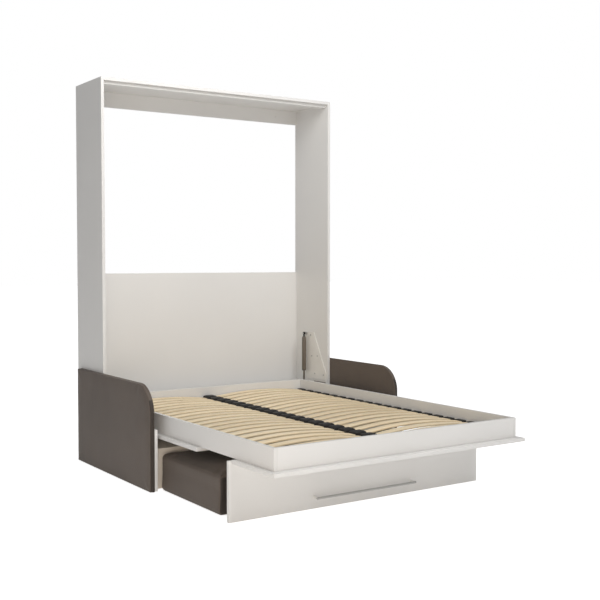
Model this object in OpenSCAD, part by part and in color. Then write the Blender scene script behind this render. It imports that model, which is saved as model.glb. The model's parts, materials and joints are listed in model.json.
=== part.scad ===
// Wall bed with a sofa base: a tall open cabinet, a slatted bed that swings down out of it, a hanging
// support leg under the foot of the bed, two gas struts, padded side arms and a loose seat cushion.
// X is across the bed, +Y points to the wall, +Z is up, and the origin is the middle of the footprint.

/* [Cabinet] */
// Outside width of the cabinet
cabinet_w = 1568; // [1400:2:1900]
// Gap between the folded bed and the top panel
fold_gap = 6; // [4:1:200]
// Depth of the cabinet
cabinet_d = 380; // [370:5:460]
// Thickness of the cabinet and bed boards
board_t = 18; // [16:1:22]
// Height of the header board at the wall
header_h = 89; // [60:1:200]
// Height of the top edge of the back panel
back_panel_h = 1100; // [700:10:1400]
// Depth of the front rail under the top panel
top_rail_d = 60; // [40:5:120]
// Distance between the two wall screws in the header
wall_screw_spacing = 1200; // [600:50:1300]
// Diameter of the wall screw holes
wall_screw_d = 7; // [5:0.5:10]

/* [Bed frame] */
// Gap between the bed frame and each cabinet side
frame_side_gap = 42; // [40:1:60]
// Inside length of the bed frame
frame_inner_l = 1900; // [1800:10:2000]
// Height of the bed rails
rail_h = 100; // [80:1:120]
// Height of the underside of the bed rails above the floor
rail_z = 286; // [276:1:320]
// Distance from the wall to the head of the bed
head_gap = 134; // [125:1:150]
// Side overhang of the face panels past the bed frame
face_overhang = 25; // [10:1:30]
// Overhang of the foot face panel past the foot rail
foot_overhang = 40; // [10:1:60]
// Distance from the front of the bed frame back to the face of the support leg
leg_setback = 316; // [290:1:330]
// Distance from the face of the support leg back to the head face panel
leg_bay = 332; // [324:1:400]

/* [Slats] */
// Distance from one slat to the next
slat_pitch = 89; // [76:1:120]
// Width of a slat
slat_w = 55; // [50:1:70]
// Thickness of a slat
slat_t = 8; // [6:0.5:10]
// Rise of a slat at its middle
slat_rise = 27; // [10:1:30]

/* [Support leg] */
// Gap between the support leg and each cabinet side
leg_side_gap = 4; // [3:1:40]
// Length of the bar handle
handle_l = 610; // [300:10:800]
// Diameter of the bar handle
handle_d = 12; // [8:1:16]
// Height of the bar handle above the floor
handle_z = 57; // [40:1:150]
// Distance from the leg's face to the middle of the bar
handle_reach = 35; // [25:1:45]

/* [Swing] */
// Distance from the wall to the bed's pivot
pivot_from_wall = 290; // [285:1:295]
// Height of the bed's pivot above the underside of the bed rails
pivot_rise = 70; // [60:1:74]
// Diameter of the pivot pin
pivot_d = 16; // [12:1:20]
// Distance from the wall to the strut's two ends
strut_from_wall = 145; // [145:1:155]
// Height of the strut's top end
strut_top_z = 693; // [680:1:700]
// Height of the strut's lower end above the underside of the bed rails
strut_low_rise = 44; // [39:1:49]
// Diameter of the strut's tube
strut_tube_d = 28; // [18:1:28]
// Diameter of the strut's rod
strut_rod_d = 10; // [8:1:12]

/* [Sofa] */
// Thickness of the sofa side boards
sofa_board_t = 16; // [14:1:20]
// Height of the sofa side boards
sofa_side_h = 320; // [280:5:360]
// Distance from the wall to the front of the sofa sides and arms
arm_reach = 1042; // [900:2:1100]
// Thickness of a padded arm
arm_t = 26; // [20:1:40]
// Height of a padded arm
arm_h = 545; // [450:5:600]
// Radius of the arm's front top corner
arm_corner_r = 150; // [60:5:200]
// Distance from the wall to the back of a padded arm
arm_back_gap = 50; // [0:1:100]
// Height of the seat deck's top
deck_z = 215; // [180:1:240]
// Thickness of the seat cushion
cushion_t = 190; // [150:5:210]
// Depth of the seat cushion
cushion_d = 626; // [500:2:640]
// Gap between the cushion and each sofa side
cushion_side_gap = 27; // [10:1:60]
// Radius of the cushion's edges
cushion_r = 20; // [10:1:40]

/* [Hidden] */
$fn = 48;

// Colours of the finishes
white_board = "#e9e6e0";
cream_board = "#ddd2c2";
taupe = "#5f5852";
birch = "#dcc08e";
black_rubber = "#1c1b1a";
steel = "#9a9c9e";
plate_steel = "#c9c6be";
dark_enamel = "#4a443d";
grey_plastic = "#8d8a86";

// Planes across the bed, measured out from the middle
cabinet_out = cabinet_w / 2;
cabinet_in = cabinet_out - board_t;
frame_out = cabinet_in - frame_side_gap;
leg_half = cabinet_in - leg_side_gap;
frame_in = frame_out - board_t;
face_out = frame_out + face_overhang;
sofa_in = cabinet_out - sofa_board_t;

// Distances from the wall, turned into places along Y
frame_back = head_gap;
frame_front = frame_back + frame_inner_l + 2 * board_t;
footprint_d = frame_front + foot_overhang;
leg_front = frame_front - leg_setback;
head_face_front = leg_front - leg_bay;
wall_y = footprint_d / 2;
function from_wall(d) = wall_y - d;

// Heights
rail_top = rail_z + rail_h;
face_z = rail_z - board_t;
pivot_z = rail_z + pivot_rise;
strut_low_z = rail_z + strut_low_rise;
cabinet_h = pivot_z + footprint_d - pivot_from_wall + fold_gap + board_t;
header_z = cabinet_h - board_t - header_h;

// Slat bed: ledges and centre rail carry the holders, and the holders carry the slat ends
bearer_h = 22;
bearer_w = 20;
centre_w = 44;
holder_z = rail_z + bearer_h;
holder_h = 20;
centre_holder_h = 30;
holder_wall = 2;
holder_len = 30;
centre_holder_half = 34;
slat_end_z = holder_z + holder_wall + 2;
slat_inner = 8;
slat_outer = frame_in - 8;
slat_chord = slat_outer - slat_inner;
slat_r = (slat_chord * slat_chord / 4 + slat_rise * slat_rise) / (2 * slat_rise);
end_slat_inset = 38;
first_slat = head_gap + board_t + end_slat_inset;
slat_count = 1 + floor((frame_inner_l - 3 * end_slat_inset) / slat_pitch);

// Support leg and its hinges
leg_foot_gap = 3;
leg_back = leg_front - board_t;
knuckle_r = 4;
knuckle_set = 0.5;
hinge_axis_d = leg_back - knuckle_r - knuckle_set;
hinge_axis_z = rail_z - 1;
hinge_pin_r = 2.5;
hinge_leaf_gap = 5;
leg_top = hinge_axis_z - hinge_leaf_gap;
hinge_leaf_t = 2;
hinge_leaf_h = 16;
hinge_w = 60;
knuckle_w = 20;
knuckle_gap = 0.5;
hinge_run = 0.05;
hinge_places = [-560, -180, 180, 560];
crossbar_w = 40;
brace_places = [frame_back + 666, leg_back - 356];
handle_post_x = handle_l / 2 - 8;
handle_post_r = 5;

// Swing hardware, measured out from the cabinet's inner face
plate_t = 3.5;
block_t = 8;
block_w = 126;
block_h = 80;
block_rise = 27;
pivot_run = 0.06;
pin_flange_r = 25;
pin_flange_t = 4;
pin_rest = 6;
strut_x = frame_out + 16;
strut_eye_w = 12;
strut_eye_r = 9;
strut_stud_r = 5;
strut_run = 0.05;
strut_neck = 21;
strut_body_l = 229;
strut_wall = 2;
strut_gland_l = 12;
screw_head_r = 5.5;
screw_head_t = 2;
screw_r = 2.4;
screw_l = 14;
plate_back = strut_from_wall - 45;
plate_front = pivot_from_wall + 75;
plate_top = strut_top_z + 11;
plate_low = pivot_z - 106;
plate_outline = [
    [plate_back, plate_top], [strut_from_wall + 81, plate_top], [plate_front, pivot_z + 86],
    [plate_front, pivot_z - 56], [plate_front - 50, plate_low], [plate_back, plate_low]
];
plate_screw_places = [
    [pivot_from_wall - 50, pivot_z + 75], [pivot_from_wall + 49, pivot_z + 73],
    [strut_from_wall + 61, strut_top_z - 148], [pivot_from_wall - 21, strut_top_z - 144],
    [strut_from_wall + 46, strut_top_z - 10], [plate_back + 50, plate_low + 40],
    [plate_front - 35, plate_low + 40]
];

// Sofa base
glide_h = 5;
glide_r = 14;
base_board_z = 8;
deck_front = arm_reach - 38;
deck_back = cabinet_d + 60;
cushion_back = deck_front + 2;
cushion_front = cushion_back + cushion_d;
cushion_half = sofa_in - cushion_side_gap;
fit_gap = 0.3;

// A board between two corners, given as distances from the wall
module board(x0, x1, d0, d1, z0, z1) {
    translate([x0, from_wall(d1), z0]) cube([x1 - x0, d1 - d0, z1 - z0]);
}

// A round bar along X
module bar_x(x0, x1, d, z, r) {
    translate([x0, from_wall(d), z]) rotate([0, 90, 0]) cylinder(h = x1 - x0, r = r);
}

module mirrored() {
    children();
    mirror([1, 0, 0]) children();
}

// ---- Cabinet ----

module cabinet_side() {
    difference() {
        board(cabinet_in, cabinet_out, 0, cabinet_d, 0, cabinet_h);
        for (p = plate_screw_places)
            bar_x(cabinet_in - 1, cabinet_in + screw_l - plate_t, p[0], p[1], screw_r);
    }
}
module cabinet_side_right() { color(white_board) cabinet_side(); }
module cabinet_side_left() { color(white_board) mirror([1, 0, 0]) cabinet_side(); }

module top_panel() {
    color(white_board) board(-cabinet_in, cabinet_in, 0, cabinet_d, cabinet_h - board_t, cabinet_h);
}

module top_front_rail() {
    rail_front = cabinet_d - board_t - 4;
    color(white_board)
        board(-cabinet_in, cabinet_in, rail_front - top_rail_d, rail_front, cabinet_h - 2 * board_t,
              cabinet_h - board_t);
}

module header_board() {
    color(white_board) difference() {
        board(-cabinet_in, cabinet_in, 0, board_t, header_z, cabinet_h - board_t);
        for (side = [-1, 1])
            translate([side * wall_screw_spacing / 2, wall_y + 1, header_z + header_h / 2])
                rotate([90, 0, 0]) cylinder(h = board_t + 2, d = wall_screw_d);
    }
}

module back_panel() {
    color(white_board) board(-cabinet_in, cabinet_in, 0, board_t, 0, back_panel_h);
}

// ---- Sofa base ----

module sofa_side_right() {
    color(white_board) board(sofa_in, cabinet_out, cabinet_d, arm_reach, glide_h, sofa_side_h);
}
module sofa_side_left() {
    color(white_board) board(-cabinet_out, -sofa_in, cabinet_d, arm_reach, glide_h, sofa_side_h);
}

module sofa_front_board() {
    color(cream_board) board(-sofa_in, sofa_in, deck_front - board_t, deck_front, base_board_z,
                             deck_z - board_t);
}

module sofa_rear_board() {
    color(cream_board) board(-sofa_in, sofa_in, deck_back, deck_back + board_t, base_board_z,
                             deck_z - board_t);
}

module seat_support() {
    color(cream_board) board(-board_t / 2, board_t / 2, deck_back + board_t, deck_front - board_t,
                             glide_h, deck_z - board_t);
}

module seat_deck() {
    color(cream_board) board(-sofa_in, sofa_in, deck_back, deck_front, deck_z - board_t, deck_z);
}

module base_glides() {
    side_x = cabinet_out - sofa_board_t / 2;
    color(grey_plastic) for (x = [-side_x, 0, side_x], d = [deck_back + 60, deck_front - 60])
        translate([x, from_wall(d), 0]) cylinder(h = glide_h, r = x == 0 ? glide_r : sofa_board_t / 2);
}

// A padded arm stands against the outside of the cabinet side and the sofa side
module padded_arm() {
    front = from_wall(arm_reach);
    corner_z = arm_h - arm_corner_r;
    translate([cabinet_out, 0, 0]) rotate([90, 0, 90]) linear_extrude(arm_t) difference() {
        translate([front, 0]) square([arm_reach - arm_back_gap, arm_h]);
        difference() {
            translate([front - 1, corner_z]) square([arm_corner_r + 1, arm_corner_r + 1]);
            translate([front + arm_corner_r, corner_z]) circle(arm_corner_r);
        }
    }
}
module arm_right() { color(taupe) padded_arm(); }
module arm_left() { color(taupe) mirror([1, 0, 0]) padded_arm(); }

// The loose seat cushion lies on the floor between the sofa base and the support leg
module seat_cushion() {
    r = cushion_r;
    color(taupe)
        translate([-cushion_half, from_wall(cushion_front), fit_gap])
            rotate([90, 0, 90]) linear_extrude(2 * cushion_half) union() {
                translate([0, r]) square([cushion_d, cushion_t - 2 * r]);
                translate([r, 0]) square([cushion_d - 2 * r, cushion_t]);
                for (y = [r, cushion_d - r], z = [r, cushion_t - r]) translate([y, z]) circle(r);
            }
}

// ---- Swing hardware on the cabinet ----

module plate_shape() {
    polygon([for (p = plate_outline) [from_wall(p[0]), p[1]]]);
}

module strut_plate() {
    difference() {
        translate([cabinet_in - plate_t, 0, 0]) rotate([90, 0, 90]) linear_extrude(plate_t) plate_shape();
        for (p = plate_screw_places) bar_x(cabinet_in - plate_t - 1, cabinet_in + 1, p[0], p[1], screw_r);
        bar_x(cabinet_in - plate_t - 1, cabinet_in + 1, pivot_from_wall, pivot_z, pivot_d / 2 + 1);
    }
}
module strut_plate_right() { color(plate_steel) strut_plate(); }
module strut_plate_left() { color(plate_steel) mirror([1, 0, 0]) strut_plate(); }

module pivot_block() {
    block_mid = pivot_from_wall + 11;
    face = cabinet_in - plate_t;
    difference() {
        board(face - block_t, face, block_mid - block_w / 2, block_mid + block_w / 2,
              pivot_z + block_rise - block_h, pivot_z + block_rise);
        bar_x(face - block_t - 1, face + 1, pivot_from_wall, pivot_z, pivot_d / 2 + pivot_run);
        for (p = plate_screw_places)
            bar_x(face - block_t - 1, face + 1, p[0], p[1], screw_head_r + 1);
    }
}
module pivot_block_right() { color(dark_enamel) pivot_block(); }
module pivot_block_left() { color(dark_enamel) mirror([1, 0, 0]) pivot_block(); }

module plate_screws() {
    face = cabinet_in - plate_t;
    color(steel) mirrored() for (p = plate_screw_places) {
        bar_x(face, face + screw_l, p[0], p[1], screw_r);
        bar_x(face - screw_head_t, face, p[0], p[1], screw_head_r);
    }
}

module strut_top_stud() {
    face = cabinet_in - plate_t;
    bar_x(strut_x - strut_eye_w / 2 - 2, face, strut_from_wall, strut_top_z, strut_stud_r);
    bar_x(strut_x + strut_eye_w / 2 + 2, face, strut_from_wall, strut_top_z, strut_eye_r);
}
module strut_top_stud_right() { color(dark_enamel) strut_top_stud(); }
module strut_top_stud_left() { color(dark_enamel) mirror([1, 0, 0]) strut_top_stud(); }

// ---- Bed frame ----

module bed_rail() {
    difference() {
        board(frame_in, frame_out, frame_back, frame_front, rail_z, rail_top);
        bar_x(frame_in + pin_rest, frame_out + 1, pivot_from_wall, pivot_z, pivot_d / 2);
    }
}
module bed_rail_right() { color(white_board) bed_rail(); }
module bed_rail_left() { color(white_board) mirror([1, 0, 0]) bed_rail(); }

module head_rail() {
    color(white_board) board(-frame_in, frame_in, frame_back, frame_back + board_t, rail_z, rail_top);
}
module foot_rail() {
    color(white_board) board(-frame_in, frame_in, frame_front - board_t, frame_front, rail_z, rail_top);
}

module centre_rail() {
    color(birch) board(-centre_w / 2, centre_w / 2, frame_back + board_t, frame_front - board_t, rail_z,
                       holder_z);
}

module slat_ledge() {
    board(frame_in - bearer_w, frame_in, frame_back + board_t, frame_front - board_t, rail_z, holder_z);
}
module slat_ledge_right() { color(birch) slat_ledge(); }
module slat_ledge_left() { color(birch) mirror([1, 0, 0]) slat_ledge(); }

// A pair of bearers across the frame, one each side of the centre rail
module cross_bearers(d0, d1) {
    mirrored() board(centre_w / 2, frame_in - bearer_w, d0, d1, rail_z, holder_z);
}
module frame_braces() { color(birch) for (d = brace_places) cross_bearers(d, d + crossbar_w); }
module leg_crossbar() { color(birch) cross_bearers(leg_back, leg_back + crossbar_w); }

module head_face_panel() {
    color(white_board) board(-face_out, face_out, head_gap + 16, head_face_front, face_z, rail_z);
}
module foot_face_panel() {
    color(white_board) board(-face_out, face_out, leg_front + leg_foot_gap, footprint_d, face_z, rail_z);
}

// ---- Slats ----

function slat_at(i) = first_slat + i * slat_pitch;

module slat(d) {
    middle = (slat_inner + slat_outer) / 2;
    translate([middle, from_wall(d) + slat_w / 2, slat_end_z + slat_rise - slat_r])
        rotate([90, 0, 0]) linear_extrude(slat_w) intersection() {
            difference() {
                circle(slat_r + slat_t, $fn = 360);
                circle(slat_r, $fn = 360);
            }
            translate([-slat_chord / 2, 0]) square([slat_chord, slat_r + slat_t + 1]);
        }
}
module slats_right() { color(birch) for (i = [0:slat_count - 1]) slat(slat_at(i)); }
module slats_left() { color(birch) mirror([1, 0, 0]) for (i = [0:slat_count - 1]) slat(slat_at(i)); }

// A rubber holder is a block with a pocket for the slat's end
module holder(x0, x1, d, pocket_x0, pocket_x1, h) {
    half = slat_w / 2;
    difference() {
        board(x0, x1, d - half - holder_wall, d + half + holder_wall, holder_z, holder_z + h);
        board(pocket_x0, pocket_x1, d - half - fit_gap, d + half + fit_gap, holder_z + holder_wall,
              holder_z + holder_h - 2);
    }
}
module side_holders() {
    for (i = [0:slat_count - 1])
        holder(frame_in - holder_len, frame_in, slat_at(i), frame_in - holder_len - 1, slat_outer + 2,
               holder_h);
}
module slat_holders_right() { color(black_rubber) side_holders(); }
module slat_holders_left() { color(black_rubber) mirror([1, 0, 0]) side_holders(); }
module slat_holders_centre() {
    color(black_rubber) for (i = [0:slat_count - 1]) difference() {
        holder(-centre_holder_half, centre_holder_half, slat_at(i), slat_inner - 2,
               centre_holder_half + 1, centre_holder_h);
        board(-centre_holder_half - 1, 2 - slat_inner, slat_at(i) - slat_w / 2 - fit_gap,
              slat_at(i) + slat_w / 2 + fit_gap, holder_z + holder_wall, holder_z + holder_h - 2);
    }
}

// ---- Swing hardware on the bed ----

module pivot_pin() {
    bar_x(frame_in + pin_rest, cabinet_in - 1, pivot_from_wall, pivot_z, pivot_d / 2);
    bar_x(frame_out, frame_out + pin_flange_t, pivot_from_wall, pivot_z, pin_flange_r);
}
module pivot_pin_right() { color(steel) pivot_pin(); }
module pivot_pin_left() { color(steel) mirror([1, 0, 0]) pivot_pin(); }

module strut_low_stud() {
    bar_x(frame_out, strut_x - strut_eye_w / 2 - 1, strut_from_wall, strut_low_z, strut_stud_r);
    bar_x(frame_out, frame_out + 3, strut_from_wall, strut_low_z, strut_eye_r + 4);
}
module strut_low_stud_right() { color(steel) strut_low_stud(); }
module strut_low_stud_left() { color(steel) mirror([1, 0, 0]) strut_low_stud(); }

// ---- Support leg ----

module hinge_fixed(x) {
    half = hinge_w / 2;
    leaf_z = hinge_axis_z + hinge_leaf_gap;
    board(x - half, x + half, leg_back - hinge_leaf_t, leg_back, leaf_z, leaf_z + hinge_leaf_h);
    for (side = [0, 1]) {
        x0 = x - half + side * (hinge_w - knuckle_w);
        board(x0, x0 + knuckle_w, leg_back - hinge_leaf_t, leg_back, hinge_axis_z, leaf_z);
        bar_x(x0, x0 + knuckle_w, hinge_axis_d, hinge_axis_z, knuckle_r);
    }
    bar_x(x - half, x + half, hinge_axis_d, hinge_axis_z, hinge_pin_r);
}
module leg_hinge_fixed() { color(steel) for (x = hinge_places) hinge_fixed(x); }

module hinge_moving(x) {
    half = hinge_w / 2;
    mid = hinge_w / 2 - knuckle_w - knuckle_gap;
    difference() {
        union() {
            board(x - half, x + half, leg_back - hinge_leaf_t, leg_back, leg_top - hinge_leaf_h, leg_top);
            board(x - mid, x + mid, leg_back - hinge_leaf_t, leg_back, leg_top, hinge_axis_z);
            bar_x(x - mid, x + mid, hinge_axis_d, hinge_axis_z, knuckle_r);
        }
        bar_x(x - half - 1, x + half + 1, hinge_axis_d, hinge_axis_z, hinge_pin_r + hinge_run);
    }
}
module leg_hinge_moving() { color(steel) for (x = hinge_places) hinge_moving(x); }

module leg_panel() {
    color(white_board) board(-leg_half, leg_half, leg_back, leg_front, 0, leg_top);
}

module handle_bar() {
    color(steel) bar_x(-handle_l / 2, handle_l / 2, leg_front + handle_reach, handle_z, handle_d / 2);
}
module handle_posts() {
    color(steel) difference() {
        for (side = [-1, 1])
            translate([side * handle_post_x, from_wall(leg_front), handle_z])
                rotate([90, 0, 0]) cylinder(h = handle_reach, r = handle_post_r);
        bar_x(-handle_l / 2, handle_l / 2, leg_front + handle_reach, handle_z, handle_d / 2);
    }
}

// ---- Gas struts ----

module strut_eye(z) {
    difference() {
        bar_x(strut_x - strut_eye_w / 2, strut_x + strut_eye_w / 2, strut_from_wall, z, strut_eye_r);
        bar_x(strut_x - strut_eye_w, strut_x + strut_eye_w, strut_from_wall, z, strut_stud_r + strut_run);
    }
}

module strut_tube() {
    tube_top = strut_top_z - strut_neck;
    tube_low = tube_top - strut_body_l;
    strut_eye(strut_top_z);
    translate([strut_x, from_wall(strut_from_wall), 0]) {
        translate([0, 0, tube_top]) cylinder(h = strut_neck - strut_eye_r + 1, r = strut_rod_d / 2);
        difference() {
            translate([0, 0, tube_low]) cylinder(h = strut_body_l, d = strut_tube_d);
            translate([0, 0, tube_low + strut_gland_l])
                cylinder(h = strut_body_l - strut_gland_l - 4, r = strut_tube_d / 2 - strut_wall);
            translate([0, 0, tube_low - 1]) cylinder(h = strut_gland_l + 2, r = strut_rod_d / 2 + strut_run);
        }
    }
}
module strut_tube_right() { color(dark_enamel) strut_tube(); }
module strut_tube_left() { color(dark_enamel) mirror([1, 0, 0]) strut_tube(); }

module strut_rod() {
    piston_z = strut_top_z - strut_neck - 24;
    piston_h = 10;
    strut_eye(strut_low_z);
    translate([strut_x, from_wall(strut_from_wall), 0]) {
        translate([0, 0, strut_low_z + strut_eye_r - 1])
            cylinder(h = piston_z - strut_low_z - strut_eye_r + 2, d = strut_rod_d);
        translate([0, 0, piston_z]) cylinder(h = piston_h, r = strut_tube_d / 2 - strut_wall - fit_gap);
    }
}
module strut_rod_right() { color(steel) strut_rod(); }
module strut_rod_left() { color(steel) mirror([1, 0, 0]) strut_rod(); }

cabinet_side_left();
cabinet_side_right();
top_panel();
top_front_rail();
header_board();
back_panel();
sofa_side_left();
sofa_side_right();
sofa_front_board();
sofa_rear_board();
seat_support();
seat_deck();
base_glides();
arm_left();
arm_right();
seat_cushion();
strut_plate_left();
strut_plate_right();
pivot_block_left();
pivot_block_right();
plate_screws();
strut_top_stud_left();
strut_top_stud_right();
bed_rail_left();
bed_rail_right();
head_rail();
foot_rail();
centre_rail();
slat_ledge_left();
slat_ledge_right();
frame_braces();
leg_crossbar();
head_face_panel();
foot_face_panel();
slats_left();
slats_right();
slat_holders_left();
slat_holders_right();
slat_holders_centre();
pivot_pin_left();
pivot_pin_right();
strut_low_stud_left();
strut_low_stud_right();
leg_hinge_fixed();
leg_panel();
leg_hinge_moving();
handle_bar();
handle_posts();
strut_tube_left();
strut_tube_right();
strut_rod_left();
strut_rod_right();
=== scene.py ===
"""A wall bed with a sofa base, dressed for rendering.

The frame gives every part's place. Each operator makes one piece, or one group of like pieces, in metres,
with X across the bed, +Y towards the wall and Z up. Boards, slats, padding and fittings are separate pieces.
"""

import json
import math

import bmesh
import bpy
from bpy.props import FloatProperty, FloatVectorProperty, IntProperty, PointerProperty
from mathutils import Matrix, Vector, noise


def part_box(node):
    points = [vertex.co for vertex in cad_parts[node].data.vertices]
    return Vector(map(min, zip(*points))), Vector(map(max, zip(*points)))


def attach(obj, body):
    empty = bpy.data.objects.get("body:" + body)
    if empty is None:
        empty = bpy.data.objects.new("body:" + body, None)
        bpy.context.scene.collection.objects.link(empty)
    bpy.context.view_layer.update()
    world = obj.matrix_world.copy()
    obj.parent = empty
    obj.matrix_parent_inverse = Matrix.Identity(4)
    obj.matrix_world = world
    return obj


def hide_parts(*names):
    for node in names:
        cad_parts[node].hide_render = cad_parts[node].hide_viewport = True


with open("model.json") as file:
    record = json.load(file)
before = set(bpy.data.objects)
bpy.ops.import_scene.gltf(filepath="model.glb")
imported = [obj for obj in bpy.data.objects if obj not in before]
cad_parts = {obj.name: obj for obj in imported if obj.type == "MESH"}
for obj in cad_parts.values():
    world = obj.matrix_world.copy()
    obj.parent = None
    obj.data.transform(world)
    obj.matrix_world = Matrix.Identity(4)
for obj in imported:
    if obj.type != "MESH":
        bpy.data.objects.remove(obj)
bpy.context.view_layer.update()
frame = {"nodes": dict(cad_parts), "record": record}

bl_info = {
    "name": "Wall Bed",
    "version": (1, 0, 0),
    "blender": (4, 5, 0),
    "location": "3D View > Sidebar > Wall Bed",
    "description": "Boards, slats, padding and fittings of a wall bed with a sofa base",
    "category": "Add Mesh",
}

WHITE_BOARDS = {
    "cabinet": (
        "cabinet_side_left",
        "cabinet_side_right",
        "top_panel",
        "top_front_rail",
        "back_panel",
        "sofa_side_left",
        "sofa_side_right",
    ),
    "bed": (
        "bed_rail_left",
        "bed_rail_right",
        "head_rail",
        "foot_rail",
        "head_face_panel",
        "foot_face_panel",
    ),
    "leg": ("leg_panel",),
}
DECK_BOARDS = ("sofa_front_board", "sofa_rear_board", "seat_support", "seat_deck")
SIDES = ("left", "right")

STRUT_EYE_RADIUS = 0.009
STRUT_EYE_WIDTH = 0.012
WELD_DISTANCE = 1e-6
FILLING_FRAMES = 20

# Each lamp's name, place, aim, side length, power and colour.
LAMPS = (
    ("front", (0.2, -6.4, 6.8), (0.0, 0.3, 0.7), 2.6, 222.0, (1.0, 1.0, 1.0)),
    ("top", (0.3, -1.6, 4.6), (0.0, -0.9, 0.0), 2.6, 12.0, (1.0, 0.99, 0.97)),
    ("low_left", (-2.4, -4.2, 0.55), (-0.5, -0.3, 0.15), 1.0, 21.0, (1.0, 0.89, 0.78)),
    ("pocket", (-2.1, -1.9, 0.42), (-0.4, -0.4, 0.2), 0.6, 6.0, (1.0, 0.86, 0.70)),
    ("bay", (-0.55, -0.7, 2.9), (0.75, 0.8, 0.8), 1.2, 19.0, (1.0, 0.99, 0.97)),
)
CAMERA_PLACE = (-2.897, -4.434, 1.1725)
CAMERA_DOWN, CAMERA_TURN = 2.28, -34.0
CAMERA_LENS, CAMERA_SENSOR = 58.09, 36.0


# ---------------------------------------------------------------- sizes and colours


class WallBedSizes(bpy.types.PropertyGroup):
    """Sizes of the parts that the frame's own boxes don't give"""

    board_round: FloatProperty(
        name="Board edge radius", description="Rounding of the boards' edges", default=0.0013, unit="LENGTH"
    )
    slat_layers: IntProperty(name="Slat layers", description="Veneers glued together in each slat", default=6)
    slat_rise: FloatProperty(
        name="Slat rise", description="Height of a slat's middle above its ends", default=0.027, unit="LENGTH"
    )
    arm_corner: FloatProperty(
        name="Arm corner radius", description="Radius of an arm's front top corner", default=0.150,
        unit="LENGTH",
    )
    arm_grid: FloatProperty(
        name="Arm cloth grid", description="Cell size of an arm's cover while it is filled", default=0.011,
        unit="LENGTH",
    )
    arm_round: FloatProperty(
        name="Arm edge radius", description="Rounding of an arm's edges", default=0.0028, unit="LENGTH"
    )
    arm_puff: FloatProperty(
        name="Arm filling", description="Furthest that an arm's cover swells", default=0.003, unit="LENGTH"
    )
    cushion_grid: FloatProperty(
        name="Cushion cloth grid", description="Cell size of the cushion's cover while it is filled",
        default=0.014, unit="LENGTH",
    )
    cushion_puff: FloatProperty(
        name="Cushion filling", description="Furthest that the cushion's cover swells", default=0.016,
        unit="LENGTH",
    )
    cushion_round: FloatProperty(
        name="Cushion edge radius", description="Rounding of the cushion's edges", default=0.018,
        unit="LENGTH",
    )


def shade(name, about, colour):
    return FloatVectorProperty(
        name=name, description=about, subtype="COLOR", size=3, min=0.0, max=1.0, default=colour
    )


class WallBedColours(bpy.types.PropertyGroup):
    """Base colours of the finishes"""

    board: shade("White board", "Melamine faces of the cabinet and bed", (0.765, 0.757, 0.742))
    edging: shade("Edging", "Edge strips of the white boards", (0.745, 0.737, 0.722))
    deck: shade("Sofa base board", "Light boards of the sofa base", (0.88, 0.80, 0.70))
    cover: shade("Cover", "Soft imitation leather of the arms and cushion", (0.119, 0.093, 0.075))
    birch: shade("Birch", "Light wood of the slats and bearers", (0.94, 0.79, 0.55))
    birch_dark: shade("Birch figure", "Darker streaks of the wood", (0.80, 0.61, 0.37))
    rubber: shade("Rubber", "Slat holders", (0.018, 0.017, 0.017))
    plate: shade("Plate", "Coated steel side plates", (0.80, 0.785, 0.75))
    # Enamel colour: the struts' and rod's own dark finish; on the pivot blocks and in the screw heads' cross
    # recesses it serves as painted shade.
    enamel_and_shade: shade("Enamel", "Dark struts and pivot blocks", (0.15, 0.125, 0.10))
    zinc: shade("Zinc", "Plated screws, pins and hinges", (0.56, 0.56, 0.55))
    handle: shade("Handle steel", "Brushed bar handle", (0.52, 0.515, 0.50))
    post: shade("Handle posts", "Bright posts behind the bar handle", (0.88, 0.87, 0.85))
    glide: shade("Glides", "Grey plastic feet", (0.30, 0.29, 0.28))


def sizes():
    return bpy.context.scene.wall_bed_sizes


def colours():
    return bpy.context.scene.wall_bed_colours


# ---------------------------------------------------------------- materials


class Amount:
    """A number that a shader works out; Python's operators add the Math nodes."""

    def __init__(self, finish, socket):
        self.finish, self.socket = finish, socket

    def _math(self, operation, first, second):
        return self.finish.amount("ShaderNodeMath", {"operation": operation}, {0: first, 1: second})

    def __add__(self, other):
        return self._math("ADD", self, other)

    def __radd__(self, other):
        return self._math("ADD", other, self)

    def __sub__(self, other):
        return self._math("SUBTRACT", self, other)

    def __rsub__(self, other):
        return self._math("SUBTRACT", other, self)

    def __mul__(self, other):
        return self._math("MULTIPLY", self, other)

    def __rmul__(self, other):
        return self._math("MULTIPLY", other, self)

    def __truediv__(self, other):
        return self._math("DIVIDE", self, other)


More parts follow.
